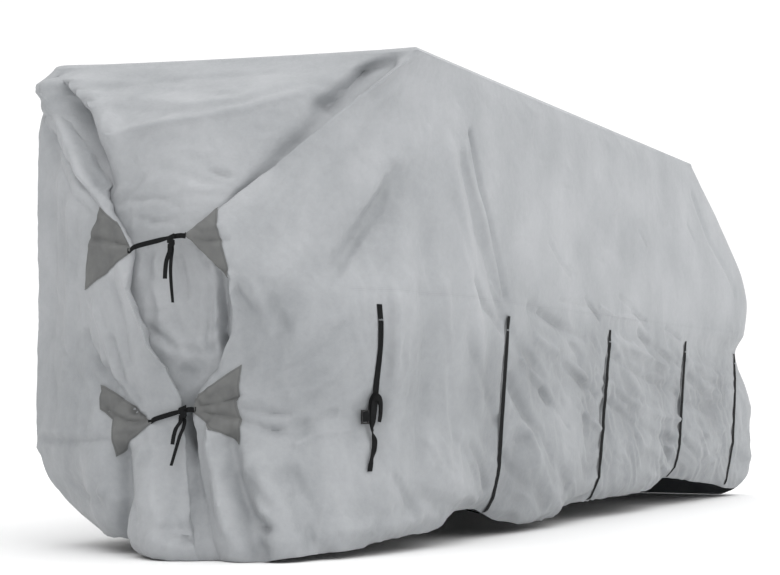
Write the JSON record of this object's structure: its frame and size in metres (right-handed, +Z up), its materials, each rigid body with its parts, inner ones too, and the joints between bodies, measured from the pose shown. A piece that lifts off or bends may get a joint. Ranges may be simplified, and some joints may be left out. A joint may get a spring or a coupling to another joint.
{
  "type": "motorhome cover",
  "caption": "Fitted weather cover of grey laminated cloth, hanging hollow with one end gathered by two webbing ties over dark patches, and straps that run under it.",
  "frame": {"origin": "middle of the cover's footprint, at the height of its lowest hem", "axes": "+X towards the sloping end, away from the gathered end; +Y across, away from the side with the loose strap; +Z up"},
  "size_m": [8.6394, 2.63, 2.9562],
  "materials": {
    "cover_cloth": "light grey laminated nonwoven cloth with a fine embossed grid and a low sheen",
    "patch_cloth": "dark grey coated woven cloth, matt",
    "webbing": "near black polypropylene webbing",
    "buckle_plastic": "black moulded acetal"
  },
  "bodies": {
    "root": {"near_side_lower": "cover_cloth", "near_side_upper": "cover_cloth", "gathered_end": "cover_cloth", "far_side_lower": "cover_cloth", "far_side_upper": "cover_cloth", "sloping_end": "cover_cloth", "roof": "cover_cloth", "patch_upper_left": "patch_cloth", "patch_upper_right": "patch_cloth", "patch_lower_left": "patch_cloth", "patch_lower_right": "patch_cloth", "upper_tie_webbing": "webbing", "upper_tie_knot": "webbing", "upper_tie_short_tail": "webbing", "upper_tie_long_tail": "webbing", "lower_tie_webbing": "webbing", "lower_tie_knot": "webbing", "lower_tie_short_tail": "webbing", "lower_tie_long_tail": "webbing", "side_strap_1": "webbing", "side_strap_2": "webbing", "side_strap_3": "webbing", "side_strap_4": "webbing", "loose_strap": "webbing", "loose_strap_hank": "webbing", "loose_strap_tail": "webbing", "loose_strap_buckle": "buckle_plastic"}
  },
  "joints": []
}
